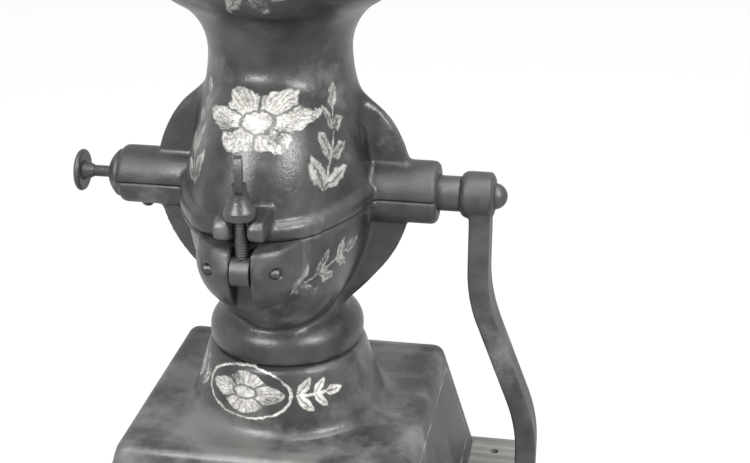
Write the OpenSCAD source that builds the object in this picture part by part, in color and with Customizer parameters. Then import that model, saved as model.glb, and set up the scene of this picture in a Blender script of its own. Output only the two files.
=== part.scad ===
// Side crank coffee mill: flared iron base with a drawer, split grinding case, bell hopper.
// Millimetres, +Z up, +X along the shaft towards the crank, -Y is the front with latch and drawer.
// The origin lies on the underside of the wooden board, below the axis of the hopper.

/* [Board] */
// Thickness of the wooden board
board_t = 19; // [14:1:28]
// Reach of the board to the left of the hopper axis
board_left = 103; // [101:1:112]
// Reach of the board to the right of the hopper axis
board_right = 115; // [110:1:118]
// Overhang of the board in front of and behind the iron base
board_edge = 2; // [1:0.5:12]
// Radius of the four mounting screw holes in the board
mount_hole_r = 2.25; // [1.5:0.25:2.5]

/* [Base] */
// Width of the top plate of the base
plate_w = 140; // [136:1:144]
// Depth of the top plate of the base
plate_d = 132; // [128:1:140]
// Height of the base from the board to the plate
box_h = 68; // [62:1:76]
// Outward lean of the base walls per unit of height
box_flare = 0.25; // [0.18:0.01:0.26]
// Thickness of the cast walls of the base
box_wall = 5; // [4:0.5:6]
// Height of the collar on the plate
collar_h = 33; // [29:1:37]
// Radius of the collar at its top
collar_r = 38.5; // [37.5:0.25:40]

/* [Grinding case] */
// Height of the shaft above the plate
shaft_h = 113.5; // [111:0.5:118]
// Radius of the case round the shaft
globe_r = 70; // [68:0.5:72]
// Half width of the case along the shaft
globe_w = 44; // [43:0.5:46]
// Radius of the nose arc of the case
globe_nose_r = 32; // [29:0.5:34]
// Thickness of the cast wall of the case
case_wall = 5.5; // [4.5:0.5:6.5]
// Radius of the flat web in the plane of the shaft
web_r = 62; // [60:0.5:64]
// Thickness of that web
web_t = 8; // [5:0.5:10]
// Radius of the left bearing boss
left_boss_r = 14; // [13:0.5:16]
// Radius of the right bearing boss
right_boss_r = 15; // [13.5:0.5:17]
// Reach of the left boss from the hopper axis
left_boss_x = 80; // [78:0.5:83]
// Reach of the right boss from the hopper axis
right_boss_x = 75; // [71:0.5:78]
// Radius of the rounded bead above the seam
bead_r = 4; // [3.5:0.25:5]

/* [Hopper] */
// Radius of the neck
neck_r = 33.3; // [32:0.1:35]
// Height of the narrowest place of the neck above the shaft
neck_h = 67.5; // [66:0.5:72]
// Radius of the arc that flares out of the neck
bell_r = 28.8; // [26:0.2:32]
// Radius of the arc that turns the hopper upright again
bowl_r = 46; // [40:1:52]
// Angle from upright that the flare reaches
bell_turn = 60; // [52:1:66]
// Radius of the flank that runs from the neck down to the seam
flank_r = 200; // [180:5:240]

/* [Burrs] */
// Radius of both grinding burrs
burr_r = 46; // [42:0.5:47]
// Number of teeth on each burr
burr_teeth = 24; // [16:1:30]
// Height of the teeth
tooth_h = 2.5; // [1.5:0.25:3]
// Gap between the tooth tips at rest
burr_gap = 2; // [1.9:0.1:3]

/* [Shaft and crank] */
// Radius of the shaft in the burrs and the worm
shaft_r = 7; // [6:0.25:7.5]
// Radius of the shaft in the right bearing
journal_r = 8.4; // [8:0.1:9.5]
// Distance from the shaft to the handle pin
crank_r = 160; // [150:1:164]
// Thickness of the crank arm
arm_t = 10; // [8:0.5:12]
// Outward step of the crank arm
arm_step = 26; // [22:0.5:32]
// Length of the wooden grip
grip_l = 48; // [40:1:60]
// Greatest radius of the wooden grip
grip_r = 13; // [11:0.5:15]

/* [Adjuster] */
// Radius of the adjusting screw
screw_r = 2.75; // [2.25:0.25:3.25]
// Radius of the thumb disc on the adjusting screw
disc_r = 10.2; // [8:0.2:13]
// Thickness of that thumb disc
disc_t = 3; // [2.4:0.2:5]

/* [Latch] */
// Radius of the swinging latch bolt
bolt_r = 2.6; // [2:0.1:3]
// Distance of the bolt in front of the shaft
latch_y = 81; // [80.5:0.25:83]
// Depth of the bolt's pivot below the seam
pivot_drop = 10; // [9:0.5:12]

/* [Drawer] */
// Width of the opening for the drawer
drawer_w = 108; // [90:1:110]
// Height of the opening for the drawer
drawer_h = 44; // [36:1:46]
// Depth of the tray behind the front
tray_d = 122; // [100:1:126]

/* [Fits] */
// Radial clearance of turning pieces
run_gap = 0.05; // [0.03:0.01:0.08]
// Clearance round the drawer and other loose pieces
free_gap = 0.5; // [0.4:0.05:0.8]

/* [Hidden] */
$fn = 64;
eps = 0.02;
big = 400;

// Heights
plate_z = board_t + box_h;
shaft_z = plate_z + shaft_h;
foot_z = collar_h - shaft_h;

// Oval of the case: two side arcs and a nose arc that touch
nose_c = globe_r - globe_nose_r;
side_sum = globe_r * globe_r + globe_w * globe_w - 2 * globe_r * globe_nose_r;
side_r = side_sum / (2 * (globe_w - globe_nose_r));
side_off = side_r - globe_w;
touch_angle = atan2(nose_c, side_off);
// The end arc is a little blunter than the nose arc, so that it crosses the side arcs at a small angle
end_r = globe_nose_r + 1;
end_c = globe_r - end_r;
inner_w = globe_w - case_wall;
bead_sunk = 0.7;

// Lower neck and foot
foot_tube_r = 11;
foot_ring_r = collar_r - 0.5 - foot_tube_r;
foot_ring_z = foot_z + 7;
outlet_edge = 14.5;
outlet_r = collar_r - outlet_edge;
foot_stem_h = 30;
outlet_top = -0.72 * globe_r;

// Hopper profile
neck_wall = 5.8;
bell_end_r = neck_r + bell_r * (1 - cos(bell_turn));
bell_end_z = neck_h + bell_r * sin(bell_turn);
bowl_c_r = bell_end_r - bowl_r * cos(bell_turn);
bowl_c_z = bell_end_z + bowl_r * sin(bell_turn);
rim_z = bowl_c_z - 1;
rim_r = bowl_c_r + bowl_r;
rim_bead_r = 3.2;
hopper_wall = 4.5;
neck_foot_z = 0.3 * globe_r;
neck_foot_r = neck_r + 1.2;
flank_w = globe_w + 0.5;
flank_z = -8;

// Inner walls of the case
wall_x = 4;
wall_t = 6;
roof_t = 5;
roof_drop = 50;
roof_rise = 16;
floor_top = 22;
floor_t = 6;
feed_hole_r = 19;

// Burrs along the shaft
fixed_t = 7.5;
fixed_face_x = wall_x - fixed_t;
moving_face_x = fixed_face_x - 2 * tooth_h - burr_gap;
moving_t = 6.5;
moving_hub_l = 12;
moving_hub_x = moving_face_x - moving_t - moving_hub_l;
moving_hub_r = shaft_r + 6;
burr_eye_r = 17.5;
tooth_w = 3.4;
tooth_skew = 18;
burr_screw_r = 2;
burr_screw_circle = 32;
drive_pin_r = 2;

// Feed worm
worm_core_r = shaft_r + 1.9;
worm_r = burr_eye_r - 1.5;
worm_start = fixed_face_x + 2;
worm_end = inner_w - 6;
worm_turns = 1.5;

// Bush, thrust button and adjusting screw
bush_r = 9;
bush_flange_r = 11.4;
bush_flange_t = 1.6;
bush_dome_h = 7;
bush_inner_x = -inner_w - 1.5;
end_journal_r = 6;
shaft_end_in = 18;
shaft_end_x = -(left_boss_x - shaft_end_in);
button_t = 3;
button_r = end_journal_r - 0.3;
button_x = shaft_end_x - button_t;
pocket_x = button_x - 2;
disc_out = 19.5;
disc_x = -(left_boss_x + disc_out);
disc_hub_l = 6;
lock_x = -(left_boss_x - 11.5);
lock_r = 1.9;
lock_head_r = 3.4;
lock_seat = 0.6;

// Crank
hub_x = right_boss_x + 10;
hub_l = 16.5;
hub_r = 11.2;
seat_w = 10;
stud_r = 4;
stud_l = 2.6;
nut_r = 6.2;
nut_h = 5.6;
arm_x = hub_x + hub_l / 2 + 1.6;
arm_tip_r = 9.5;
arm_bend_r = 80;
arm_bend = 21;
arm_bend_z = -36;
arm_low_x = arm_x + arm_step;
arm_slope_l = (arm_step - 2 * arm_bend_r * (1 - cos(arm_bend))) / sin(arm_bend);
pin_r = 3.2;
pin_flange_r = 6;
pin_flange_t = 2;
grip_x = arm_low_x + arm_t / 2 + pin_flange_t + 0.4;
washer_t = 1.6;
washer_x = grip_x + grip_l + 0.4;
pin_end_x = washer_x + washer_t;

// Latch
prong_in = 3.8;
prong_w = 7.3;
prong_h = 15.2;
prong_nose_r = 5.2;
prong_y = latch_y + 0.8;
bulge_r = 25;
bulge_in = 18.5;
bulge_y = latch_y - bulge_in;
eye_r = 6.6;
eye_w = 8.4;
latch_pin_r = 2.2;
nut_seat = prong_h + 0.3;
bell_h = 15;
bell_foot_r = 7.2;
bell_neck_r = 3.2;
wing_h = 13;
wing_w = 17;
wing_t = 3.2;
wing_turn = 12;

// Rear hinge
hinge_y = globe_r + 12;
hinge_r = 6;
hinge_pin_r = 2.5;
knuckle_w = 11.4;
leaf_w = 7;

// Base and drawer
corner_r = 6;
plate_t = 6;
rib_r = 2.4;
rib_proud = 0.7;
rib_in = 7;
collar_foot_r = collar_r + 10;
collar_lean = atan2(collar_foot_r - collar_r, collar_h);
fillet_r = 7;
fillet_reach = fillet_r / tan(45 + collar_lean / 2);
collar_lip_t = 9;
foot_w = plate_w + 2 * box_flare * box_h;
foot_d = plate_d + 2 * box_flare * box_h;
wall_lean = atan(box_flare);
case_screw_r = 2.5;
case_screw_grip = 12;
case_screw_circle = (outlet_r + collar_r - box_wall) / 2;
post_r = 6.5;
post_x = plate_w / 2 - 6.5;
post_y = plate_d / 2 - 6.5;
base_screw_r = 2.4;
base_screw_l = 15;
rest_gap = 0.15;
front_t = 5;
tray_wall = 1.5;
tray_h = drawer_h - 6;
knob_r = 8;
knob_l = 14;
knob_skin = 5;

// Board
board_d = foot_d + 2 * board_edge;
board_w = board_left + board_right;
board_corner_r = 3;
hole_inset = 15.7;
hole_left_x = -(foot_w / 2 + board_left) / 2;
hole_right_x = board_right - hole_inset;
hole_front = 14;
hole_y = board_d / 2 - hole_front;

// Places and orientations shared by the pieces

module at_shaft() {
  translate([0, 0, shaft_z]) children();
}

// Lays a piece that stands on the XY plane along +X, starting at x
module along_x(x) {
  translate([x, 0, 0]) rotate([0, 90, 0]) children();
}

module rod_x(x0, x1, r) {
  along_x(x0) cylinder(h = x1 - x0, r = r);
}

// Extrudes a YZ outline along X, centred
module extrude_x(l) {
  translate([-l / 2, 0, 0]) rotate([90, 0, 90]) linear_extrude(l) children();
}

// Extrudes an XZ outline along Y, centred
module extrude_y(l) {
  translate([0, l / 2, 0]) rotate([90, 0, 0]) linear_extrude(l) children();
}

module upper_space() {
  translate([-big / 2, -big / 2, 0]) cube(big);
}

module lower_space() {
  translate([-big / 2, -big / 2, -big]) cube(big);
}

// Case: shared forms, all with the shaft along the X axis

// Half of the oval, between its two side arcs and its end arc
module oval_half(inset) {
  meet = end_c + (end_r - inset) * sin(touch_angle);
  intersection() {
    translate([0, side_off]) circle(side_r - inset);
    translate([0, -side_off]) circle(side_r - inset);
    union() {
      translate([0, -globe_r]) square([meet, 2 * globe_r]);
      translate([end_c, 0]) circle(end_r - inset);
    }
  }
}

module globe(inset) {
  rotate([0, 90, 0]) rotate_extrude() oval_half(inset);
}

// Round disc in the plane of the shaft whose lower edges run straight to the foot
module web() {
  lean = 40;
  reach = 27;
  side = [web_r * cos(lean), -web_r * sin(lean)];
  low = side - reach * [sin(lean), cos(lean)];
  extrude_y(web_t) union() {
    circle(web_r);
    polygon([side, low, [-low[0], low[1]], [-side[0], side[1]]]);
  }
}

module boss(r, x) {
  edge = 3;
  along_x(0) rotate_extrude() union() {
    square([r, abs(x) - edge]);
    square([r - edge, abs(x)]);
    translate([r - edge, abs(x) - edge]) circle(edge);
  }
}

module bosses() {
  boss(right_boss_r, right_boss_x);
  mirror([1, 0, 0]) boss(left_boss_r, left_boss_x);
}

module bearing_bores() {
  rod_x(-left_boss_x - 1, -inner_w + 4, bush_r + eps);
  rod_x(inner_w - 4, right_boss_x + 1, journal_r + run_gap);
}

// Band on the oval of the seam: a profile swept along four arcs that run on a little past each other
module seam_sweep() {
  run_on = 1;
  nose_turn = 90 - touch_angle;
  for (s = [0, 180])
    rotate([0, 0, s]) {
      translate([0, -end_c, 0])
        rotate([0, 0, -90 - nose_turn])
          rotate_extrude(angle = 2 * nose_turn) translate([end_r, 0]) children();
      translate([-side_off, 0, 0])
        rotate([0, 0, -touch_angle - run_on])
          rotate_extrude(angle = 2 * (touch_angle + run_on)) translate([side_r, 0]) children();
    }
}

// Half round bead that stands straight on the seam
module bead_profile() {
  reach = bead_r - bead_sunk;
  translate([-bead_sunk, bead_r]) circle(bead_r);
  translate([-bead_sunk, 0]) square([reach + bead_sunk, bead_r]);
}

// Upper half of the case with the hopper

module neck_profile() {
  difference() {
    polygon([
      [0, neck_foot_z], [neck_foot_r, neck_foot_z], [neck_foot_r, neck_h],
      [bell_end_r, bell_end_z], [0, bell_end_z]
    ]);
    translate([neck_r + bell_r, neck_h]) circle(bell_r);
  }
}

// Half outline of the body below the neck
module flank_profile() {
  intersection() {
    translate([flank_w - flank_r, flank_z]) circle(flank_r, $fn = 4 * $fn);
    square([globe_w + 10, neck_h - 1]);
  }
}

module bowl_profile() {
  intersection() {
    translate([bowl_c_r, bowl_c_z]) circle(bowl_r);
    translate([0, bell_end_z]) square([rim_r, rim_z - bell_end_z]);
  }
}

module hopper_solid() {
  rotate_extrude() union() {
    difference() {
      flank_profile();
      translate([neck_r + bell_r, neck_h]) circle(bell_r);
    }
    neck_profile();
    translate([0, -eps]) bowl_profile();
    translate([rim_r - 1, rim_z]) circle(rim_bead_r);
    translate([0, rim_z - 1]) square([rim_r - 1, rim_bead_r]);
  }
}

module hopper_hollow() {
  inner_r = bowl_r - hopper_wall;
  rotate_extrude() union() {
    difference() {
      translate([0, neck_foot_z]) square([bell_end_r, bell_end_z - neck_foot_z]);
      translate([neck_r + bell_r, neck_foot_z - 1])
        translate([-bell_r - neck_wall, 0]) square([big, neck_h - neck_foot_z + 1]);
      translate([neck_r + bell_r, neck_h]) circle(bell_r + neck_wall);
    }
    intersection() {
      translate([bowl_c_r, bowl_c_z]) circle(inner_r);
      translate([0, bell_end_z - 4]) square([rim_r, rim_z - bell_end_z + 4]);
    }
    translate([0, bell_end_z - eps]) square([bowl_c_r, rim_z - bell_end_z]);
    translate([0, rim_z - eps]) square([bowl_c_r + inner_r, 2 * rim_bead_r]);
  }
}

// Wall beside the burrs and the sloping roof that leads the beans to the worm
module upper_inner_walls() {
  slope = atan2(roof_rise, wall_x + wall_t + globe_w);
  difference() {
    translate([wall_x, -globe_r, -1]) cube([wall_t, 2 * globe_r, roof_drop + 1]);
    rod_x(wall_x - 1, wall_x + wall_t + 1, feed_hole_r);
    burr_screw_holes();
  }
  translate([wall_x + wall_t, 0, roof_drop])
    rotate([0, slope, 0])
      translate([-2 * globe_w, -globe_r, -roof_t]) cube([2 * globe_w, 2 * globe_r, roof_t]);
}

module prongs() {
  for (s = [-1, 1])
    translate([s * (prong_in + prong_w / 2), 0, 0])
      extrude_x(prong_w) union() {
        translate([-prong_y, prong_h - prong_nose_r]) circle(prong_nose_r);
        translate([-prong_y, prong_h - 2 * prong_nose_r]) square([prong_y - globe_r + 6, 2 * prong_nose_r]);
      }
}

module upper_knuckle() {
  rod_x(-knuckle_w / 2, knuckle_w / 2, hinge_r);
  translate([-knuckle_w / 2, -(hinge_y - globe_r + case_wall - 2), 0])
    cube([knuckle_w, hinge_y - globe_r + case_wall - 2, hinge_r]);
}

module upper_case() {
  color("dimgray") at_shaft() difference() {
    union() {
      difference() {
        union() {
          intersection() {
            union() {
              globe(0);
              web();
              bosses();
            }
            upper_space();
          }
          hopper_solid();
          seam_sweep() bead_profile();
          prongs();
        }
        difference() {
          union() {
            globe(case_wall);
            hopper_hollow();
          }
          upper_inner_walls();
        }
        lower_space();
      }
      translate([0, hinge_y, 0]) upper_knuckle();
    }
    bearing_bores();
    translate([0, hinge_y, 0]) rod_x(-knuckle_w, knuckle_w, hinge_pin_r + eps);
  }
}

// Lower half of the case

module foot_profile() {
  difference() {
    union() {
      translate([0, foot_z]) square([foot_ring_r, foot_stem_h]);
      translate([0, foot_z]) square([foot_ring_r + foot_tube_r, foot_ring_z - foot_z]);
      translate([foot_ring_r, foot_ring_z]) circle(foot_tube_r);
    }
    translate([0, foot_z - big]) square([big, big]);
  }
}

module lower_inner_walls() {
  difference() {
    translate([wall_x, -globe_r, -globe_r]) cube([wall_t, 2 * globe_r, globe_r + 1]);
    rod_x(wall_x - 1, wall_x + wall_t + 1, feed_hole_r);
    burr_screw_holes();
    translate([0, 0, -globe_r - floor_top - floor_t]) cylinder(h = globe_r, r = outlet_r);
  }
  translate([wall_x, -globe_r, -floor_top - floor_t]) cube([globe_w, 2 * globe_r, floor_t]);
}

// Round swelling at the front with a slot for the eye of the latch bolt
module latch_bulge() {
  slot_w = eye_w + 2 * free_gap;
  back = latch_y - eye_r - free_gap;
  difference() {
    intersection() {
      translate([0, -bulge_y, -pivot_drop]) sphere(bulge_r);
      lower_space();
    }
    globe(case_wall - 1);
    translate([-slot_w / 2, -big - back, -big / 2]) cube([slot_w, big, big]);
  }
}

module lower_leaves() {
  for (s = [-1, 1])
    translate([s * (knuckle_w / 2 + 0.3 + leaf_w / 2), 0, 0]) {
      rod_x(-leaf_w / 2, leaf_w / 2, hinge_r);
      translate([-leaf_w / 2, -(hinge_y - globe_r + case_wall - 2), -hinge_r])
        cube([leaf_w, hinge_y - globe_r + case_wall - 2, hinge_r]);
    }
}

// Thin lip that carries the bead of the upper half
module seam_lip() {
  lip_h = 3;
  translate([0, 0, -lip_h]) seam_sweep() translate([-2, 0]) square([2 + bead_r - bead_sunk, lip_h]);
}

module lower_case() {
  color("dimgray") at_shaft() difference() {
    union() {
      intersection() {
        union() {
          globe(0);
          web();
          bosses();
          rotate_extrude() foot_profile();
        }
        lower_space();
      }
      seam_lip();
      latch_bulge();
      translate([0, hinge_y, 0]) lower_leaves();
    }
    difference() {
      union() {
        globe(case_wall);
        translate([0, 0, foot_z - 1]) cylinder(h = outlet_top - foot_z + 1, r = outlet_r);
      }
      lower_inner_walls();
    }
    bearing_bores();
    translate([lock_x, 0, -left_boss_r - 1]) {
      cylinder(h = left_boss_r, r = lock_r + eps);
      cylinder(h = lock_seat + 1, r = lock_head_r + free_gap);
    }
    translate([0, hinge_y, 0]) rod_x(-2 * knuckle_w, 2 * knuckle_w, hinge_pin_r + eps);
    translate([0, -latch_y, -pivot_drop]) rod_x(-bulge_r, bulge_r, latch_pin_r + eps);
    case_screw_ring() cylinder(h = case_screw_grip + 2, r = case_screw_r + eps);
    translate([0, 0, foot_z - big]) cube([big, big, 2 * big], center = true);
  }
}

// Screws between the collar and the case

module case_screw_ring() {
  for (a = [30, 150, 270])
    rotate([0, 0, a]) translate([case_screw_circle, 0, foot_z - eps]) children();
}

module case_screws() {
  head_h = 3.5;
  color("silver") at_shaft() case_screw_ring() {
    translate([0, 0, -collar_lip_t]) cylinder(h = collar_lip_t + case_screw_grip, r = case_screw_r);
    translate([0, 0, -collar_lip_t - head_h]) cylinder(h = head_h, r = 1.7 * case_screw_r);
  }
}

module hinge_pin() {
  l = knuckle_w + 2 * leaf_w + 4;
  color("silver") at_shaft() translate([0, hinge_y, 0]) rod_x(-l / 2, l / 2, hinge_pin_r);
}

// Latch

module latch_pin() {
  l = bulge_r + eye_w;
  color("silver") at_shaft() translate([0, -latch_y, -pivot_drop]) rod_x(-l / 2, l / 2, latch_pin_r);
}

module latch_bolt() {
  color("gray") at_shaft() translate([0, -latch_y, 0]) difference() {
    union() {
      translate([0, 0, -pivot_drop]) cylinder(h = pivot_drop + nut_seat + bell_h - 3, r = bolt_r);
      translate([0, 0, -pivot_drop]) rod_x(-eye_w / 2, eye_w / 2, eye_r);
    }
    translate([0, 0, -pivot_drop]) rod_x(-eye_w, eye_w, latch_pin_r + run_gap);
  }
}

module thumb_nut() {
  belly_r = 19;
  color("gray") at_shaft() translate([0, -latch_y, nut_seat]) rotate([0, 0, wing_turn]) difference() {
    union() {
      rotate_extrude() difference() {
        square([bell_foot_r, bell_h]);
        translate([bell_neck_r + belly_r, bell_h]) circle(belly_r);
      }
      translate([0, 0, bell_h + wing_h / 2 - 3]) intersection() {
        extrude_x(wing_t) intersection() {
          translate([wing_w - wing_h, 0]) circle(wing_w / 2 + 2);
          translate([wing_h - wing_w, 0]) circle(wing_w / 2 + 2);
        }
        cube([wing_t, wing_w, wing_h + 4], center = true);
      }
    }
    translate([0, 0, -1]) cylinder(h = bell_h - 1.5, r = bolt_r + run_gap);
  }
}

// Burrs

// Ridges set askew round the face, clipped to the ring that they stand on
module burr_teeth_ring(face_x, side) {
  intersection() {
    for (i = [0 : burr_teeth - 1])
      rotate([360 * i / burr_teeth, 0, 0])
        translate([face_x, 0, burr_eye_r - 2])
          rotate([side * tooth_skew, 0, 0])
            linear_extrude(burr_r)
              polygon([[-side, -tooth_w / 2], [-side, tooth_w / 2], [side * tooth_h, tooth_w / 4]]);
    difference() {
      rod_x(face_x - 5, face_x + 5, burr_r - 0.6);
      rod_x(face_x - 6, face_x + 6, burr_eye_r + 1.2);
    }
  }
}

module burr_screw_holes() {
  for (a = [0, 120, 240])
    rotate([a, 0, 0]) translate([0, 0, burr_screw_circle])
      rod_x(fixed_face_x + 3, wall_x + wall_t + 1, burr_screw_r + eps);
}

module fixed_burr() {
  color("slategray") at_shaft() difference() {
    union() {
      rod_x(fixed_face_x, wall_x, burr_r);
      burr_teeth_ring(fixed_face_x, -1);
    }
    rod_x(fixed_face_x - 5, wall_x + 1, burr_eye_r);
    burr_screw_holes();
  }
}

module burr_screws() {
  head_h = 2.6;
  color("silver") at_shaft() for (a = [0, 120, 240])
    rotate([a, 0, 0]) translate([0, 0, burr_screw_circle]) {
      rod_x(fixed_face_x + 3.5, wall_x + wall_t, burr_screw_r);
      rod_x(wall_x + wall_t, wall_x + wall_t + head_h, 1.75 * burr_screw_r);
    }
}

module drive_pin_rod(r) {
  l = 2 * moving_hub_r;
  translate([moving_hub_x + moving_hub_l / 2, 0, 0]) rotate([90, 0, 0]) cylinder(h = l, r = r, center = true);
}

module moving_burr() {
  color("slategray") at_shaft() difference() {
    union() {
      rod_x(moving_face_x - moving_t, moving_face_x, burr_r);
      rod_x(moving_hub_x, moving_face_x - moving_t, moving_hub_r);
      burr_teeth_ring(moving_face_x, 1);
    }
    rod_x(moving_hub_x - 1, moving_face_x + 2 * tooth_h, shaft_r + eps);
    drive_pin_rod(drive_pin_r + eps);
  }
}

module drive_pin() {
  color("silver") at_shaft() drive_pin_rod(drive_pin_r);
}

module feed_worm() {
  l = worm_end - worm_start;
  color("slategray") at_shaft() difference() {
    along_x(worm_start)
      linear_extrude(l, twist = -360 * worm_turns, slices = 30)
        union() {
          circle(worm_core_r, $fn = 24);
          translate([worm_r - worm_core_r, 0]) circle(worm_core_r, $fn = 24);
        }
    rod_x(worm_start - 1, worm_end + 1, shaft_r + eps);
  }
}

// Shaft and crank

module shaft() {
  color("silver") at_shaft() difference() {
    union() {
      rod_x(shaft_end_x, -inner_w, end_journal_r);
      rod_x(-inner_w, inner_w + 2, shaft_r);
      rod_x(inner_w + 2, hub_x, journal_r);
      translate([hub_x, -seat_w / 2, -seat_w / 2]) cube([hub_l - 2, seat_w, seat_w]);
      rod_x(hub_x + hub_l - 2, hub_x + hub_l + stud_l, stud_r);
    }
    drive_pin_rod(drive_pin_r + eps);
  }
}

// Middle line of the arm from the hub down: straight, bent out, sloping, bent back, straight
function arm_path(z) =
  let (
    turn_h = arm_bend_r * sin(arm_bend),
    turn_x = arm_bend_r * (1 - cos(arm_bend)),
    slope_z = arm_bend_z - turn_h,
    back_z = slope_z - arm_slope_l * cos(arm_bend),
    end_z = back_z - turn_h
  )
  z > arm_bend_z ? arm_x
  : z > slope_z ? arm_x + arm_bend_r - sqrt(pow(arm_bend_r, 2) - pow(arm_bend_z - z, 2))
  : z > back_z ? arm_x + turn_x + (slope_z - z) * tan(arm_bend)
  : z > end_z ? arm_low_x - arm_bend_r + sqrt(pow(arm_bend_r, 2) - pow(z - end_z, 2))
  : arm_low_x;

// Side view of the arm
module arm_band() {
  steps = 48;
  top = hub_r;
  drop = hub_r + crank_r + arm_tip_r;
  right = [for (i = [0 : steps]) let (z = top - drop * i / steps) [arm_path(z) + arm_t / 2, z]];
  left = [for (i = [steps : -1 : 0]) let (z = top - drop * i / steps) [arm_path(z) - arm_t / 2, z]];
  polygon(concat(right, left));
}

// Front view of the arm: two round eyes joined by a tapered bar
module arm_face() {
  top_w = 9;
  low_w = 7.5;
  circle(hub_r);
  translate([0, -crank_r]) circle(arm_tip_r);
  polygon([[-top_w, 0], [top_w, 0], [low_w, -crank_r], [-low_w, -crank_r]]);
}

module hub_solid() {
  edge = 4;
  along_x(hub_x) rotate_extrude() union() {
    square([hub_r - edge, hub_l]);
    translate([0, edge]) square([hub_r, hub_l - 2 * edge]);
    translate([hub_r - edge, edge]) circle(edge);
    translate([hub_r - edge, hub_l - edge]) circle(edge);
  }
}

module crank_arm() {
  color("dimgray") at_shaft() difference() {
    union() {
      intersection() {
        extrude_y(4 * hub_r) arm_band();
        translate([arm_x, 0, 0]) extrude_x(big) arm_face();
      }
      hub_solid();
    }
    translate([hub_x - 1, -seat_w / 2 - eps, -seat_w / 2 - eps])
      cube([hub_l + 2, seat_w + 2 * eps, seat_w + 2 * eps]);
    translate([0, 0, -crank_r]) rod_x(arm_low_x - arm_t, arm_low_x + arm_t, pin_r + eps);
  }
}

module crank_nut() {
  dome_r = (nut_r * nut_r + nut_h * nut_h) / (2 * nut_h);
  color("silver") at_shaft() difference() {
    along_x(hub_x + hub_l) rotate_extrude() intersection() {
      translate([0, nut_h - dome_r]) circle(dome_r);
      square([nut_r, nut_h]);
    }
    rod_x(hub_x + hub_l - 1, hub_x + hub_l + stud_l + 0.1, stud_r + eps);
  }
}

module handle_pin() {
  head_h = 2.4;
  x0 = arm_low_x - arm_t / 2;
  x1 = arm_low_x + arm_t / 2;
  color("silver") at_shaft() translate([0, 0, -crank_r]) {
    rod_x(x0, pin_end_x, pin_r);
    rod_x(x1, x1 + pin_flange_t, pin_flange_r);
    rod_x(pin_end_x, pin_end_x + head_h, 1.5 * pin_r);
  }
}

module handle_washer() {
  color("silver") at_shaft() translate([0, 0, -crank_r]) difference() {
    rod_x(washer_x, pin_end_x, 2.3 * pin_r);
    rod_x(washer_x - 1, pin_end_x + 1, pin_r + eps);
  }
}

module handle_grip() {
  belly_r = 70;
  color("peru") at_shaft() translate([0, 0, -crank_r]) difference() {
    along_x(grip_x) rotate_extrude() intersection() {
      translate([grip_r - belly_r, 0.56 * grip_l]) circle(belly_r);
      square([grip_r, grip_l]);
    }
    rod_x(grip_x - 1, grip_x + grip_l + 1, pin_r + run_gap);
  }
}

// Adjuster

module adjuster_bush() {
  rise = bush_dome_h - bush_flange_t;
  dome_r = (bush_flange_r * bush_flange_r + rise * rise) / (2 * rise);
  color("gray") at_shaft() difference() {
    union() {
      rod_x(-left_boss_x, bush_inner_x, bush_r);
      mirror([1, 0, 0]) along_x(left_boss_x) rotate_extrude() union() {
        square([bush_flange_r, bush_flange_t]);
        intersection() {
          translate([0, bush_dome_h - dome_r]) circle(dome_r);
          square([bush_flange_r, bush_dome_h]);
        }
      }
    }
    rod_x(pocket_x, bush_inner_x + 1, end_journal_r + run_gap);
    rod_x(-left_boss_x - bush_dome_h - 1, pocket_x + 1, screw_r + run_gap);
  }
}

module bush_lock_screw() {
  head_h = 2.6;
  dome_r = (lock_head_r * lock_head_r + head_h * head_h) / (2 * head_h);
  color("gray") at_shaft() translate([lock_x, 0, -left_boss_r]) {
    cylinder(h = left_boss_r - bush_r - run_gap, r = lock_r);
    mirror([0, 0, 1]) rotate_extrude() intersection() {
      translate([0, head_h - dome_r]) circle(dome_r);
      translate([0, -lock_seat]) square([lock_head_r, head_h + lock_seat]);
    }
  }
}

module thrust_button() {
  color("silver") at_shaft() rod_x(button_x, shaft_end_x, button_r);
}

module adjusting_screw() {
  edge = disc_t / 2;
  color("gray") at_shaft() union() {
    rod_x(disc_x - 1, button_x, screw_r);
    along_x(disc_x - 1) cylinder(h = disc_hub_l, r1 = 2 * screw_r, r2 = screw_r);
    along_x(disc_x - disc_t) rotate_extrude() union() {
      square([disc_r - edge, disc_t]);
      intersection() {
        translate([disc_r - edge, edge]) circle(edge);
        square([disc_r, disc_t]);
      }
    }
  }
}

// Base

// Four corners of the base, moved out by the flare at height z
module box_corners(inset, z) {
  grow = box_flare * (plate_z - z) - corner_r - inset;
  for (sx = [-1, 1], sy = [-1, 1])
    translate([sx * (plate_w / 2 + grow), sy * (plate_d / 2 + grow), z]) children();
}

module box_outside() {
  hull() {
    box_corners(0, board_t) cylinder(h = eps, r = corner_r, $fn = 32);
    box_corners(0, plate_z - corner_r) sphere(corner_r, $fn = 32);
  }
}

module box_inside() {
  hull() {
    box_corners(box_wall, board_t - 1) cylinder(h = eps, r = corner_r, $fn = 32);
    box_corners(box_wall, plate_z - plate_t) cylinder(h = eps, r = corner_r, $fn = 32);
  }
}

// Rounded ribs along the front and back edges of the top plate
module plate_ribs() {
  half = plate_w / 2 - rib_in;
  for (s = [-1, 1])
    translate([0, s * (plate_d / 2 - rib_in), plate_z + rib_proud - rib_r]) {
      rod_x(-half, half, rib_r);
      for (e = [-1, 1]) translate([e * half, 0, 0]) sphere(rib_r);
    }
}

// Leaning collar with a hollow fillet onto the plate
module collar_profile() {
  fillet_end_r = collar_foot_r + fillet_reach;
  touch = [collar_foot_r - fillet_reach * sin(collar_lean), fillet_reach * cos(collar_lean)];
  difference() {
    polygon([[0, -1], [fillet_end_r, -1], [fillet_end_r, 0], touch, [collar_r, collar_h], [0, collar_h]]);
    translate([fillet_end_r, fillet_r]) circle(fillet_r);
  }
}

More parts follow.
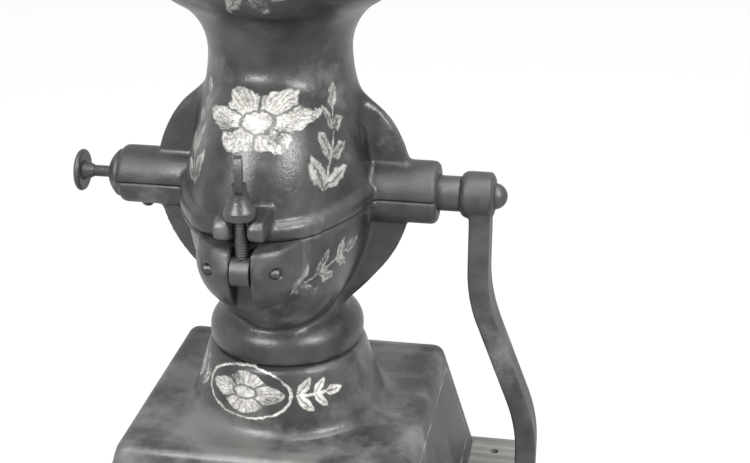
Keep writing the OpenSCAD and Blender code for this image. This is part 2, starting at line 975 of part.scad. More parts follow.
module collar_hollow() {
  polygon([
    [0, -plate_t - 1], [collar_foot_r - box_wall, -plate_t - 1],
    [collar_r - box_wall, collar_h - collar_lip_t], [0, collar_h - collar_lip_t]
  ]);
}

module drawer_bay() {
  translate([-drawer_w / 2, -foot_d, board_t - 1]) cube([drawer_w, foot_d, drawer_h + 1]);
}

module screw_posts() {
  for (sx = [-1, 1], sy = [-1, 1])
    translate([sx * post_x, sy * post_y, 0]) children();
}

module base_box() {
  color("dimgray") difference() {
    union() {
      difference() {
        box_outside();
        box_inside();
      }
      plate_ribs();
      translate([0, 0, plate_z]) rotate_extrude() collar_profile();
      screw_posts() translate([0, 0, board_t]) cylinder(h = box_h - 1, r = post_r);
    }
    translate([0, 0, plate_z]) rotate_extrude() collar_hollow();
    translate([0, 0, plate_z]) cylinder(h = collar_h + 1, r = outlet_r);
    drawer_bay();
    at_shaft() case_screw_ring() translate([0, 0, -collar_lip_t - 1])
      cylinder(h = collar_lip_t + 2, r = case_screw_r + eps);
    screw_posts() translate([0, 0, board_t - 1]) cylinder(h = base_screw_l + 2, r = base_screw_r + eps);
  }
}

module base_screws() {
  head_h = 3;
  color("silver") screw_posts() {
    translate([0, 0, 1]) cylinder(h = board_t - 1 + base_screw_l, r = base_screw_r);
    translate([0, 0, 1]) cylinder(h = head_h, r = 1.9 * base_screw_r);
  }
}

module base_board() {
  color("tan") difference() {
    linear_extrude(board_t) union() {
      translate([-board_left, -board_d / 2 + board_corner_r]) square([board_w, board_d - 2 * board_corner_r]);
      translate([-board_left + board_corner_r, -board_d / 2]) square([board_w - 2 * board_corner_r, board_d]);
      for (x = [-board_left + board_corner_r, board_right - board_corner_r], s = [-1, 1])
        translate([x, s * (board_d / 2 - board_corner_r)]) circle(board_corner_r);
    }
    screw_posts() {
      translate([0, 0, -1]) cylinder(h = board_t + 2, r = base_screw_r + eps);
      translate([0, 0, -1]) cylinder(h = 5 + eps, r = 1.9 * base_screw_r + eps);
    }
    for (x = [hole_left_x, hole_right_x], s = [-1, 1])
      translate([x, s * hole_y, -1]) cylinder(h = board_t + 2, r = mount_hole_r);
  }
}

// Drawer

function wall_y(z) = -(plate_d / 2 + box_flare * (plate_z - z));

front_z0 = board_t + rest_gap;
front_z1 = board_t + drawer_h - free_gap;
tray_back = wall_y(front_z0) + front_t + tray_d;
tray_half = drawer_w / 2 - 2;

// Outline of the tray seen from the side, with the lean of the front
module tray_outline(inset, top) {
  z0 = front_z0 + inset;
  polygon([
    [wall_y(z0) + front_t + inset, z0], [tray_back - inset, z0],
    [tray_back - inset, top], [wall_y(top) + front_t + inset, top]
  ]);
}

module drawer_tray() {
  top = front_z0 + tray_h;
  color("darkgray") difference() {
    extrude_x(2 * tray_half) tray_outline(0, top);
    extrude_x(2 * (tray_half - tray_wall)) tray_outline(tray_wall, top + 1);
    knob_axis() rod_y(-1, front_t + 4, base_screw_r + eps);
  }
}

module drawer_front() {
  color("dimgray") difference() {
    extrude_x(drawer_w - 2 * free_gap) polygon([
      [wall_y(front_z0), front_z0], [wall_y(front_z0) + front_t, front_z0],
      [wall_y(front_z1) + front_t, front_z1], [wall_y(front_z1), front_z1]
    ]);
    knob_axis() rod_y(-1, front_t + 4, base_screw_r + eps);
  }
}

// Square to the leaning front, with +Y going in
module knob_axis() {
  z = (front_z0 + front_z1) / 2;
  translate([0, wall_y(z), z]) rotate([-wall_lean, 0, 0]) children();
}

module rod_y(y0, y1, r) {
  translate([0, y0, 0]) rotate([-90, 0, 0]) cylinder(h = y1 - y0, r = r);
}

module drawer_knob() {
  neck = 4;
  color("dimgray") knob_axis() difference() {
    rotate([90, 0, 0]) rotate_extrude() union() {
      square([neck, knob_l - 2]);
      square([neck + 2, 1.6]);
      intersection() {
        translate([0, knob_l - knob_r]) circle(knob_r);
        translate([0, knob_l - 1.5 * knob_r]) square([knob_r, 1.5 * knob_r]);
      }
    }
    rod_y(-knob_l + knob_skin, 1, base_screw_r + eps);
  }
}

module knob_screw() {
  through = front_t * cos(wall_lean) + tray_wall * cos(wall_lean);
  color("silver") knob_axis() {
    rod_y(-knob_l + knob_skin + 0.5, through + 1, base_screw_r);
    rod_y(through, through + 2.2, 1.8 * base_screw_r);
  }
}

base_board();
base_box();
base_screws();
lower_case();
case_screws();
upper_case();
hinge_pin();
latch_pin();
latch_bolt();
thumb_nut();
fixed_burr();
burr_screws();
adjuster_bush();
bush_lock_screw();
thrust_button();
adjusting_screw();
shaft();
moving_burr();
drive_pin();
feed_worm();
crank_arm();
crank_nut();
handle_pin();
handle_washer();
handle_grip();
drawer_tray();
drawer_front();
drawer_knob();
knob_screw();
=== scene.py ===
"""Dresses the side crank coffee mill: worn black iron with gilt ornament, on a grey wooden board."""
import math

import bpy
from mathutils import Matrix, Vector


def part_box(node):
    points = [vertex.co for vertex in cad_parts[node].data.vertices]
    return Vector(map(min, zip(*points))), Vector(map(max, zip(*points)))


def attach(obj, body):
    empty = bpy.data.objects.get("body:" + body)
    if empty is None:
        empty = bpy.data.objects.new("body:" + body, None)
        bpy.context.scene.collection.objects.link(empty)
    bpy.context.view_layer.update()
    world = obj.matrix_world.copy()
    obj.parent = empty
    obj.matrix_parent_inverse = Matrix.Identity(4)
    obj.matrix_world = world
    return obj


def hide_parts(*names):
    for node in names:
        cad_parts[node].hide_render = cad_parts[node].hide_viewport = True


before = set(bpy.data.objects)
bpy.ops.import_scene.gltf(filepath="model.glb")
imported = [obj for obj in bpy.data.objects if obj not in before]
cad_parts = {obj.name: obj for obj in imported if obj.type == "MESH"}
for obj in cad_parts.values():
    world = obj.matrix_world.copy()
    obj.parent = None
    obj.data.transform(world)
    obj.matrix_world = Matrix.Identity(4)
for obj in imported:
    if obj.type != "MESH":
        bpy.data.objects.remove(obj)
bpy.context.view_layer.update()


# Places on the mill, in metres, read from the frame where it shows them

def middle_of(node, axis):
    """Middle of a CAD piece along one axis."""
    low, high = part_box(node)
    return round((low[axis] + high[axis]) / 2, 6)


def far_end_of(node, axis):
    """Highest place of a CAD piece along one axis."""
    return round(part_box(node)[1][axis], 6)


X, Y, Z = range(3)
SHAFT_Z = middle_of("shaft", Z)
LATCH_Y = middle_of("latch_pin", Y)
BOARD_TOP = far_end_of("base_board", Z)
COLLAR_TOP = far_end_of("base_box", Z)
COLLAR_H = 0.033
COLLAR_R = 0.0385
PLATE_Z = COLLAR_TOP - COLLAR_H
WALL_FLARE = 0.25
WALL_LEAN = WALL_FLARE * (PLATE_Z - BOARD_TOP)
HALF_PLATE_W = far_end_of("base_box", X) - WALL_LEAN
HALF_PLATE_D = far_end_of("base_box", Y) - WALL_LEAN
CASE_FRONT_Y = -0.012
COLLAR_FRONT_Y = -0.010
THREAD_PITCH = 0.00127
THREAD_R = 0.0031
THREAD_RELIEF = 3
MOST_TRIANGLES = 190000

# Finishes
IRON_DARK = (0.013, 0.013, 0.014, 1)
IRON_GREY = (0.039, 0.038, 0.037, 1)
# Pale rubbed iron; on the flat top plate of the base it also stands for painted light
IRON_WORN_AND_PAINTED_LIGHT = (0.125, 0.122, 0.117, 1)
GILT_PALE = (0.530, 0.522, 0.488, 1)
GILT_DULL = (0.210, 0.204, 0.187, 1)
BARE_DARK = (0.028, 0.027, 0.026, 1)
BARE_BRIGHT = (0.085, 0.083, 0.080, 1)
BOARD_DARK = (0.080, 0.077, 0.073, 1)
BOARD_PALE = (0.215, 0.209, 0.200, 1)
BOARD_STREAK = (0.055, 0.052, 0.049, 1)
BOARD_SCUFF = (0.280, 0.274, 0.264, 1)
GRIP_DARK = (0.050, 0.040, 0.033, 1)
GRIP_PALE = (0.155, 0.125, 0.102, 1)
GRIP_BAND = (0.040, 0.032, 0.027, 1)
FLOOR_LOW = (0.93, 0.93, 0.93, 1)
FLOOR_HIGH = (0.96, 0.96, 0.96, 1)
WHITE = (1, 1, 1, 1)

# Studio, in metres, watts and radians
LIGHT_TARGET = (0, 0, 0.18)
SIDE_LAMP_SIZE = 0.35
SIDE_LAMP_POWER = 14
SHADE_LIGHT = 0.25
CAMERA_PLACE = (0.1586, -0.6513, 0.4618)
CAMERA_DIP = 0.405
CAMERA_TURN = 0.174
LENS_MM = 72
SENSOR_MM = 36


# Shader maths

class Link:
    """An output in a material; arithmetic on it adds Math nodes to that material."""

    def __init__(self, tree, socket):
        self.tree = tree
        self.socket = socket

    def node(self, kind, settings=None, sockets=None, output=0):
        made = self.tree.nodes.new(kind)
        for name, value in (settings or {}).items():
            if name == "stops":
                set_stops(made.color_ramp, value)
            else:
                setattr(made, name, value)
        for name, value in (sockets or {}).items():
            if isinstance(value, Link):
                self.tree.links.new(value.socket, made.inputs[name])
            else:
                made.inputs[name].default_value = value
        return Link(self.tree, made.outputs[output])

    def maths(self, operation, *values):
        return self.node("ShaderNodeMath", {"operation": operation}, dict(enumerate(values)))

    def __add__(self, other):
        return self.maths("ADD", self, other)

    def __radd__(self, other):
        return self.maths("ADD", other, self)

    def __sub__(self, other):
        return self.maths("SUBTRACT", self, other)

    def __rsub__(self, other):
        return self.maths("SUBTRACT", other, self)

    def __mul__(self, other):
        return self.maths("MULTIPLY", self, other)

    def __rmul__(self, other):
        return self.maths("MULTIPLY", other, self)

    def __truediv__(self, other):
        return self.maths("DIVIDE", self, other)

    def __abs__(self):
        return self.maths("ABSOLUTE", self)

    def __lt__(self, other):
        return self.maths("LESS_THAN", self, other)

    def __gt__(self, other):
        return self.maths("GREATER_THAN", self, other)


def set_stops(ramp, stops):
    """Gives a colour ramp its stops, each a place and a grey level."""
    while len(ramp.elements) < len(stops):
        ramp.elements.new(0.5)
    for element, (place, level) in zip(ramp.elements, stops):
        element.position = place
        element.color = (level, level, level, 1)


def larger(a, b):
    """The larger of two values at each place."""
    return a.maths("MAXIMUM", a, b)


def smaller(a, b):
    """The smaller of two values at each place."""
    return a.maths("MINIMUM", a, b)


def length(u, v):
    """Distance from the origin of a flat drawing."""
    return u.maths("SQRT", u * u + v * v)


def clamped(value):
    """A value kept between zero and one."""
    return value.node("ShaderNodeClamp", None, {"Value": value})


def step_down(value, edge, softness):
    """One below the edge and zero above it, with a soft border."""
    return clamped((edge - value) / softness + 0.5)


def noise(place, scale, detail=3.0, roughness=0.55):
    """Cloudy values round one half; the scale is in clouds per metre."""
    return place.node("ShaderNodeTexNoise", None,
                      {"Vector": place, "Scale": scale, "Detail": detail, "Roughness": roughness})


def stretched(place, factors):
    """The place with each axis scaled by its own factor."""
    return place.node("ShaderNodeVectorMath", {"operation": "MULTIPLY"}, {0: place, 1: factors})


def ramp(value, *stops):
    """A value passed through a grey ramp."""
    return value.node("ShaderNodeValToRGB", {"stops": stops}, {"Fac": value})


def mixed(factor, first, second):
    """One colour turning into another as the factor rises."""
    return factor.node("ShaderNodeMix", {"data_type": "RGBA"}, {0: factor, 6: first, 7: second}, output=2)


def new_look(name):
    """Starts a material and returns its shader node and the place on the object."""
    look = bpy.data.materials.new(name)
    look.use_nodes = True
    tree = look.node_tree
    shader = tree.nodes["Principled BSDF"]
    coordinates = tree.nodes.new("ShaderNodeTexCoord")
    return look, shader, Link(tree, coordinates.outputs["Object"])


def finish_look(shader, place, colour, roughness, height, strength, distance):
    """Joins colour, roughness and surface height to the shader."""
    bump = place.node("ShaderNodeBump", None, {"Strength": strength, "Distance": distance, "Height": height})
    for name, link in (("Base Color", colour), ("Roughness", roughness), ("Normal", bump)):
        place.tree.links.new(link.socket, shader.inputs[name])


def parts_of(place):
    """The x, y and z of a place."""
    return [place.node("ShaderNodeSeparateXYZ", None, {"Vector": place}, output=i) for i in range(3)]


# Ornament: flat figures drawn in metres, each a mask between zero and one

def turned(u, v, degrees):
    """A flat drawing's place in axes turned by an angle."""
    c = math.cos(math.radians(degrees))
    s = math.sin(math.radians(degrees))
    return u * c + v * s, v * c - u * s


def leaf(u, v, middle, degrees, half_length, half_width):
    """A pointed leaf with a dark vein."""
    along, across = turned(u - middle[0], v - middle[1], degrees)
    along = along / half_length
    across = abs(across) / half_width
    body = step_down(along * along + across, 1.0, 0.25)
    vein = step_down(across, 0.16, 0.08) * (along < 0.55)
    return body * (1 - 0.7 * vein)


def sprig(u, v, pairs, spacing, leaf_l, leaf_w):
    """A stem with pairs of leaves that grow smaller towards its tip."""
    reach = pairs * spacing
    stem = step_down(abs(v), 0.0006, 0.0004) * step_down(abs(u - reach / 2), reach / 2, 0.0004)
    figure = leaf(u, v, (reach + leaf_l * 0.6, 0), 0, leaf_l * 0.8, leaf_w)
    figure = larger(figure, stem)
    side = abs(v)
    for i in range(pairs):
        size = 1 - 0.14 * i
        middle = ((i + 0.55) * spacing, leaf_l * 0.62 * size)
        figure = larger(figure, leaf(u, side, middle, 48, leaf_l * size, leaf_w * size))
    return figure


def rosette(u, v, half_w, half_h, petals):
    """A flower with a ring of petals round a button."""
    u = u / half_w
    v = v / half_h
    radius = length(u, v)
    angle = u.maths("ARCTAN2", v, u)
    wave = u.maths("COSINE", angle * petals)
    outline = step_down(radius, 0.86 + 0.13 * wave, 0.05)
    gaps = step_down(wave, -0.90, 0.10) * (radius > 0.34)
    ring = step_down(abs(radius - 0.30), 0.045, 0.03)
    lines = step_down(u.maths("COSINE", angle * petals * 7), -0.55, 0.5) * (radius > 0.42)
    return outline * (1 - 0.75 * larger(gaps, ring)) * (1 - 0.45 * lines)


def worn(place, figure, keep, seed):
    """Rubs a figure away in patches and specks."""
    shifted = place.node("ShaderNodeVectorMath", {"operation": "ADD"}, {0: place, 1: (seed, 0.3 * seed, 0)})
    patches = noise(shifted, scale=70, detail=2.0)
    specks = noise(shifted, scale=900, detail=2.0)
    return figure * step_down(patches * 0.6 + specks * 0.4, keep, 0.16)


def frayed(place, amount, scale):
    """The place moved about by a small noise, which makes drawn edges ragged."""
    sockets = {"Vector": place, "Scale": scale, "Detail": 3.0}
    wobble = place.node("ShaderNodeTexNoise", None, sockets, output=1)
    centred = place.node("ShaderNodeVectorMath", {"operation": "SUBTRACT"}, {0: wobble, 1: (0.5, 0.5, 0.5)})
    moved = place.node("ShaderNodeVectorMath", {"operation": "SCALE"}, {0: centred, "Scale": amount})
    return place.node("ShaderNodeVectorMath", {"operation": "ADD"}, {0: place, 1: moved})


def turn_about(x, y):
    """Angle round the upright axis, zero at the front, in radians."""
    return x.maths("ARCTAN2", x, 0 - y)


def outside_of_bowl(place):
    """One on the outer skin of the hopper, whose wall leans outwards."""
    x, y, z = parts_of(place)
    lean_start_z = 0.300
    wall_r = 0.0535
    lean = 0.75
    return length(x, y) - lean * (z - lean_start_z) > wall_r


def upper_ornament(place):
    """A wide rosette on the front, a sprig on either flank and a sprig below the rim."""
    flower_x, flower_z = 0.0010, 0.2480
    flank_turn, flank_z, flank_r, flank_lean = math.radians(31), 0.2175, 0.048, 62
    brow_z, brow_r = 0.3075, 0.058
    x, y, z = parts_of(frayed(place, amount=0.0045, scale=240))
    turn = turn_about(x, y)
    front = y < CASE_FRONT_Y
    flower = rosette(x - flower_x, z - flower_z, half_w=0.0245, half_h=0.0128, petals=6) * front
    flank_u, flank_v = turned((abs(turn) - flank_turn) * flank_r, z - flank_z, flank_lean)
    flanks = sprig(flank_u, flank_v, pairs=3, spacing=0.0115, leaf_l=0.0085, leaf_w=0.0032) * front
    brow = sprig(abs(turn) * brow_r, z - brow_z, pairs=1, spacing=0.009, leaf_l=0.007, leaf_w=0.0028)
    brow = brow * front * outside_of_bowl(place)
    figure = larger(worn(place, flower, keep=0.60, seed=0.2), 0.62 * worn(place, flanks, keep=0.56, seed=0.7))
    return larger(figure, 0.5 * worn(place, brow, keep=0.54, seed=1.3))


def lower_ornament(place):
    """Sprigs that lie along the front below the seam, rubbed more on the left."""
    sprig_turn, sprig_z, sprig_r, sprig_lean = math.radians(14), 0.1735, 0.055, 16
    x, y, z = parts_of(frayed(place, amount=0.0055, scale=260))
    along = (abs(turn_about(x, y)) - sprig_turn) * sprig_r
    u, v = turned(along, z - sprig_z, sprig_lean)
    figure = sprig(u, v, pairs=3, spacing=0.0115, leaf_l=0.0080, leaf_w=0.0030) * (y < CASE_FRONT_Y)
    left_rub = ramp(x * 40 + 0.5, (0.25, 0.25), (0.75, 0.7))
    return 0.75 * worn(place, figure, keep=0.53, seed=1.1) * left_rub


def collar_figure(place, x, y, z):
    """A lobed panel in a ring, between two sprigs."""
    panel_turn, panel_z, panel_r = math.radians(17), 0.1075, 0.0425
    ring_half_w, ring_half_h = 0.0235, 0.0118
    sprig_start = 0.0255
    along = (turn_about(x, y) + panel_turn) * panel_r
    level = z - panel_z
    panel = rosette(along, level, half_w=0.0205, half_h=0.0098, petals=4)
    ring = step_down(abs(length(along / ring_half_w, level / ring_half_h) - 1), 0.035, 0.02)
    sprigs = sprig(abs(along) - sprig_start, level, pairs=2, spacing=0.0080, leaf_l=0.0060, leaf_w=0.0024)
    figure = worn(place, larger(panel, ring), keep=0.60, seed=0.4)
    on_collar = z > PLATE_Z + 0.006
    return larger(figure, worn(place, sprigs, keep=0.58, seed=1.9)) * (y < COLLAR_FRONT_Y) * on_collar


def wall_lines(place, x, y, z):
    """A fine line round each leaning wall, at one distance from its edges."""
    inset, half_line, skin = 0.011, 0.0007, 0.004
    drop = PLATE_Z - z
    wall_x = abs(abs(x) - HALF_PLATE_W - WALL_FLARE * drop) < skin
    wall_y = abs(abs(y) - HALF_PLATE_D - WALL_FLARE * drop) < skin
    across = wall_x * (HALF_PLATE_D - abs(y)) + wall_y * (HALF_PLATE_W - abs(x)) + WALL_FLARE * drop
    border = smaller(smaller(across, drop), z - BOARD_TOP)
    line = step_down(abs(border - inset), half_line, 0.0004) * larger(wall_x, wall_y)
    return worn(place, line, keep=0.50, seed=0.9)


def base_ornament(place):
    """The figure on the collar, and faint lines on the walls."""
    x, y, z = parts_of(frayed(place, amount=0.0022, scale=320))
    return larger(collar_figure(place, x, y, z), 0.4 * wall_lines(place, x, y, z))


# Materials

def plate_wear_and_painted_light(place):
    """The flat plate is lighter than the collar and the walls: partly rubbed more, partly painted light on
    its up-facing top.
    """
    # Lightens the flat plate: partly wear, partly painted light where the plate faces up
    on_plate = clamped(1.2 - abs(parts_of(place)[Z] - PLATE_Z) * 80)
    return 0.04 + 0.10 * on_plate


def japanned_iron(name, ornament=None, wear_and_painted_light=None):
    """Cast iron under worn black varnish, matter where hands reach, with gilt where it has ornament."""
    look, shader, place = new_look(name)
    mottle = noise(place, scale=55, detail=4.0)
    grain = noise(place, scale=1300, roughness=0.6)
    rub = noise(place, scale=22, detail=5.0, roughness=0.65)
    # On the base, this extra rubbing also paints light onto the flat up-facing plate
    if wear_and_painted_light:
        rub = rub + wear_and_painted_light(place)
    colour = mixed(ramp(mottle, (0.35, 0), (0.68, 1)), IRON_DARK, IRON_GREY)
    colour = mixed(ramp(rub, (0.56, 0), (0.72, 0.75)), colour, IRON_WORN_AND_PAINTED_LIGHT)
    lumps = noise(place, scale=330, roughness=0.6)
    boss_x = 0.045
    handled = clamped((abs(parts_of(place)[X]) - boss_x) * 60)
    roughness = 0.20 + 0.20 * mottle + 0.08 * grain + 0.17 * handled
    height = grain * 0.4 + lumps * 0.8 + mottle * 1.5
    if ornament:
        mask = ornament(place)
        clouds = noise(place, scale=150, detail=4.0, roughness=0.6)
        shine = 0.6 * clouds + 0.4 * noise(place, scale=700, detail=2.0)
        gilt = mixed(ramp(shine, (0.38, 0), (0.62, 1)), GILT_DULL, GILT_PALE)
        colour = mixed(mask, colour, gilt)
        roughness = roughness * (1 - mask) + 0.48 * mask
    finish_look(shader, place, colour, roughness, height, strength=0.45, distance=0.0005)
    return look


def screw_thread(place, axis):
    """Turns of a fine thread round the adjusting screw, along X, or the latch bolt, along Z."""
    x, y, z = parts_of(place)
    along = (x, y, z)[axis]
    off_axis = length(y, z - SHAFT_Z) if axis == X else length(x, y - LATCH_Y)
    wave = along.maths("SINE", along * (2 * math.pi / THREAD_PITCH))
    return THREAD_RELIEF * wave * (off_axis < THREAD_R)


def handled_iron(name, thread_axis=None):
    """Bare dark iron, brightened by hands."""
    look, shader, place = new_look(name)
    smear = noise(place, scale=160, detail=4.0)
    pits = noise(place, scale=1500, detail=2.0)
    if thread_axis is not None:
        pits = pits + screw_thread(place, thread_axis)
    colour = mixed(smear, BARE_DARK, BARE_BRIGHT)
    shader.inputs["Metallic"].default_value = 0.55
    finish_look(shader, place, colour, 0.32 + 0.25 * smear, pits + smear, strength=0.3, distance=0.0003)
    return look


def dull_steel(name, pale):
    """Drawn steel or tinned sheet with fine scratches."""
    look, shader, place = new_look(name)
    scratches = noise(stretched(place, (60.0, 900.0, 900.0)), scale=1.0, detail=2.0)
    stain = noise(place, scale=90, detail=4.0)
    dark = (0.45 * pale, 0.45 * pale, 0.44 * pale, 1)
    colour = mixed(stain, dark, (pale, pale, 0.98 * pale, 1))
    shader.inputs["Metallic"].default_value = 0.85
    roughness = 0.30 + 0.20 * scratches + 0.1 * stain
    finish_look(shader, place, colour, roughness, scratches, strength=0.25, distance=0.0002)
    return look


def worn_board(name):
    """Grey weathered plank: long grain, dark streaks and scuffs."""
    look, shader, place = new_look(name)
    fibres = noise(stretched(place, (6.0, 260.0, 260.0)), scale=1.0, detail=5.0, roughness=0.6)
    streaks = noise(stretched(place, (2.0, 45.0, 45.0)), scale=1.0)
    scuffs = noise(place, scale=60, detail=4.0)
    colour = mixed(ramp(fibres, (0.30, 0), (0.70, 1)), BOARD_DARK, BOARD_PALE)
    colour = mixed(ramp(streaks, (0.50, 0), (0.75, 0.8)), colour, BOARD_STREAK)
    colour = mixed(ramp(scuffs, (0.58, 0), (0.75, 0.6)), colour, BOARD_SCUFF)
    height = fibres + 0.5 * scuffs
    finish_look(shader, place, colour, 0.62 + 0.25 * fibres, height, strength=0.6, distance=0.0008)
    return look


def turned_wood(name):
    """Dark grip wood, grain along its length."""
    look, shader, place = new_look(name)
    fibres = noise(stretched(place, (18.0, 420.0, 420.0)), scale=1.0, detail=4.0, roughness=0.6)
    bands = noise(stretched(place, (5.0, 90.0, 90.0)), scale=1.0)
    colour = mixed(fibres, GRIP_DARK, GRIP_PALE)
    colour = mixed(ramp(bands, (0.45, 0), (0.75, 0.7)), colour, GRIP_BAND)
    finish_look(shader, place, colour, 0.34 + 0.2 * fibres, fibres, strength=0.3, distance=0.0003)
    return look


# Castings: copies of the iron pieces with the rounded edges and fillets that a mould gives

def bell(value, middle, half):
    """One at the middle, falling to zero at either end."""
    share = min(1.0, abs(value - middle) / half)
    return (1 - share * share) ** 2


def upper_weight(x, y, z):
    """Where the neck runs into the front and flanks of the case, and a little on the latch prongs."""
    neck = bell(math.hypot(x, y), middle=0.037, half=0.018) * bell(z, middle=SHAFT_Z + 0.054, half=0.026)
    off_bolt = math.hypot(x, y - LATCH_Y)
    prongs = bell(off_bolt, middle=0, half=0.024) * bell(z, middle=SHAFT_Z + 0.010, half=0.016)
    return max(neck, 0.06 * prongs)


def lower_weight(x, y, z):
    """Where the lower case runs into its foot, and the lower edge of the foot."""
    off_axis = math.hypot(x, y)
    waist = bell(off_axis, middle=0.028, half=0.014) * bell(z, middle=SHAFT_Z - 0.058, half=0.016)
    edge = bell(off_axis, middle=COLLAR_R, half=0.008) * bell(z, middle=COLLAR_TOP + 0.002, half=0.007)
    return max(waist, 0.5 * edge)


def collar_weight(x, y, z):
    """The rim of the collar under the foot."""
    return bell(math.hypot(x, y), middle=COLLAR_R, half=0.006) * bell(z, middle=COLLAR_TOP, half=0.006)


def merged_copy(node):
    """A selected copy of a CAD piece, with its loose triangles joined."""
    piece = bpy.data.objects.new(node + "_casting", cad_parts[node].data.copy())
    bpy.context.collection.objects.link(piece)
    bpy.ops.object.select_all(action="DESELECT")
    piece.select_set(True)
    bpy.context.view_layer.objects.active = piece
    bpy.ops.object.mode_set(mode="EDIT")
    bpy.ops.mesh.select_all(action="SELECT")
    bpy.ops.mesh.remove_doubles(threshold=1e-6)
    bpy.ops.object.mode_set(mode="OBJECT")
    return piece


def weigh(piece, weight):
    """Puts the weights of a casting's fillets in a vertex group."""
    group = piece.vertex_groups.new(name="fillet")
    for vertex in piece.data.vertices:
        share = weight(*vertex.co)
        if share > 0.01:
            group.add([vertex.index], share, "REPLACE")
    return group.name


def casting(node, voxel, passes, weight=None, weight_passes=0):
    """A softened copy of a CAD piece, which it replaces in the picture."""
    piece = merged_copy(node)
    skin = piece.modifiers.new("mould", "REMESH")
    skin.mode = "VOXEL"
    skin.voxel_size = voxel
    skin.use_smooth_shade = True
    bpy.ops.object.modifier_apply(modifier=skin.name)
    if weight:
        smooth_by(piece, weight_passes, weigh(piece, weight))
    smooth_by(piece, passes)
    piece.vertex_groups.clear()
    thin_out(piece)
    return piece


def smooth_by(piece, passes, group=""):
    """Evens the surface, all over or by the weights of a vertex group."""
    rub = piece.modifiers.new("rub", "SMOOTH")
    rub.factor = 0.5
    rub.iterations = passes
    rub.vertex_group = group
    bpy.ops.object.modifier_apply(modifier=rub.name)


def thin_out(piece):
    """Fewer triangles where a casting has too many."""
    piece.data.calc_loop_triangles()
    count = len(piece.data.loop_triangles)
    if count > MOST_TRIANGLES:
        thin = piece.modifiers.new("thin", "DECIMATE")
        thin.ratio = MOST_TRIANGLES / count
        bpy.ops.object.modifier_apply(modifier=thin.name)


def put_in_place(piece, node, body, look):
    """Lets a casting stand for its CAD piece and move with its body."""
    piece.data.materials.clear()
    piece.data.materials.append(look)
    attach(piece, body)
    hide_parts(node)


def cast_pieces(plain):
    """The four large iron castings."""
    upper = casting("upper_case", voxel=0.00108, passes=3, weight=upper_weight, weight_passes=200)
    put_in_place(upper, "upper_case", "frame", japanned_iron("japanned_upper", upper_ornament))
    lower = casting("lower_case", voxel=0.00105, passes=3, weight=lower_weight, weight_passes=95)
    put_in_place(lower, "lower_case", "frame", japanned_iron("japanned_lower", lower_ornament))
    base = casting("base_box", voxel=0.00135, passes=4, weight=collar_weight, weight_passes=24)
    put_in_place(base, "base_box", "frame", japanned_iron("japanned_base", base_ornament, plate_wear_and_painted_light))
    arm = casting("crank_arm", voxel=0.0006, passes=14)
    put_in_place(arm, "crank_arm", "crankshaft", plain)


def dress(look, *nodes):
    """Puts one material on whole CAD pieces."""
    for name in nodes:
        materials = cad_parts[name].data.materials
        materials.clear()
        materials.append(look)


def dress_all():
    """Castings and materials for every piece."""
    plain = japanned_iron("japanned_plain")
    bare = handled_iron("handled_iron")
    steel = dull_steel("dull_steel", pale=0.42)
    cast_pieces(plain)
    dress(plain, "adjuster_bush", "thumb_nut", "drawer_front", "latch_pin", "hinge_pin")
    dress(bare, "fixed_burr", "bush_lock_screw", "moving_burr", "feed_worm", "crank_nut", "drawer_knob",
          "shaft")
    dress(handled_iron("threaded_screw", thread_axis=X), "adjusting_screw")
    dress(handled_iron("threaded_bolt", thread_axis=Z), "latch_bolt")
    dress(steel, "base_screws", "case_screws", "burr_screws", "thrust_button", "drive_pin", "handle_pin",
          "handle_washer", "knob_screw")
    dress(dull_steel("tinned_sheet", pale=0.55), "drawer_tray")
    dress(worn_board("worn_board"), "base_board")
    dress(turned_wood("turned_wood"), "handle_grip")


# Studio

def seen_directly(tree):
    """One for the rays that show the surroundings: to the camera, in a gloss and through glass."""
    path = tree.nodes.new("ShaderNodeLightPath")
    camera, gloss, glass = (Link(tree, path.outputs["Is %s Ray" % kind])
                            for kind in ("Camera", "Glossy", "Transmission"))
    return larger(larger(camera, gloss), glass)


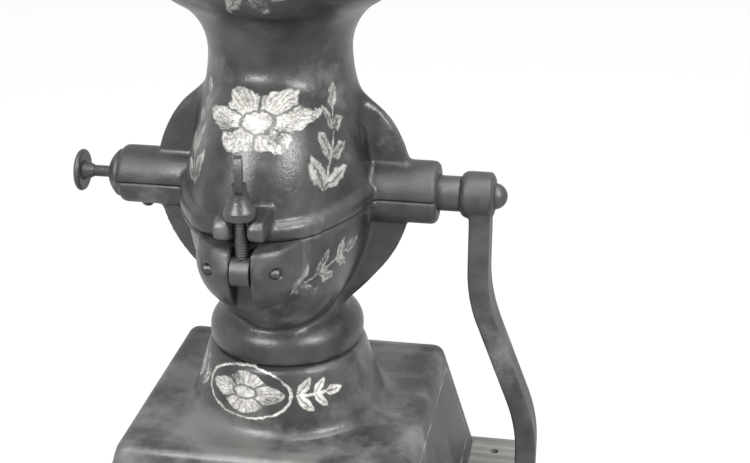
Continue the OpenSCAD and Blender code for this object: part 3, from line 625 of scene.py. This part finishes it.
def pale_floor():
    """A pale floor that the camera and mirrors see as white, with the shadow of the mill on it."""
    bpy.ops.object.select_all(action="DESELECT")
    bpy.ops.mesh.primitive_plane_add(size=12, location=(0, 0, -0.0005))
    floor = bpy.context.object
    floor.name = "studio_floor"
    bpy.ops.object.transform_apply(location=True)
    look, shader, place = new_look("studio_floor")
    tree = look.node_tree
    tint = mixed(noise(place, scale=2.0), FLOOR_LOW, FLOOR_HIGH)
    tree.links.new(tint.socket, shader.inputs["Base Color"])
    shader.inputs["Roughness"].default_value = 0.9
    seen = seen_directly(tree)
    white = seen.node("ShaderNodeEmission", None, {"Color": WHITE, "Strength": 1.0})
    plain = Link(tree, shader.outputs[0])
    blend = seen.node("ShaderNodeMixShader", None, {0: seen * 0.92, 1: plain, 2: white})
    tree.links.new(blend.socket, tree.nodes["Material Output"].inputs["Surface"])
    floor.data.materials.append(look)


def soft_world():
    """Even grey light all round; the camera and glossy surfaces see white."""
    world = bpy.data.worlds.new("studio")
    bpy.context.scene.world = world
    world.use_nodes = True
    tree = world.node_tree
    background = tree.nodes["Background"]
    seen = seen_directly(tree)
    strength = SHADE_LIGHT + (1 - SHADE_LIGHT) * seen
    background.inputs["Color"].default_value = WHITE
    tree.links.new(strength.socket, background.inputs["Strength"])


def soft_lamp(name, place, width, height, power):
    """A lit panel that faces the middle of the mill."""
    lamp = bpy.data.lights.new(name, "AREA")
    lamp.shape = "RECTANGLE"
    lamp.size = width
    lamp.size_y = height
    lamp.energy = power
    holder = bpy.data.objects.new(name, lamp)
    bpy.context.collection.objects.link(holder)
    holder.location = place
    gaze = [t - p for t, p in zip(LIGHT_TARGET, place)]
    dip = math.atan2(gaze[Z], math.hypot(gaze[X], gaze[Y]))
    heading = math.atan2(gaze[Y], gaze[X])
    holder.rotation_euler = (math.pi / 2 + dip, 0, heading - math.pi / 2)


def studio_light():
    """A lamp on either side of the camera and a long one above."""
    for name, place in (("left_lamp", (-0.46, -0.87, 0.87)), ("right_lamp", (0.81, -0.55, 0.87))):
        soft_lamp(name, place, SIDE_LAMP_SIZE, SIDE_LAMP_SIZE, SIDE_LAMP_POWER)
    soft_lamp("top_lamp", (0.15, -0.20, 1.25), width=1.50, height=0.25, power=19)


def photo_camera():
    """The camera where the photograph was taken from."""
    lens = bpy.data.cameras.new("photo_camera")
    lens.sensor_width = SENSOR_MM
    lens.lens = LENS_MM
    holder = bpy.data.objects.new("photo_camera", lens)
    bpy.context.collection.objects.link(holder)
    holder.location = CAMERA_PLACE
    holder.rotation_euler = (math.pi / 2 - CAMERA_DIP, 0, CAMERA_TURN)
    bpy.context.scene.camera = holder


dress_all()
pale_floor()
soft_world()
studio_light()
photo_camera()
bpy.context.scene.view_settings.view_transform = "Standard"
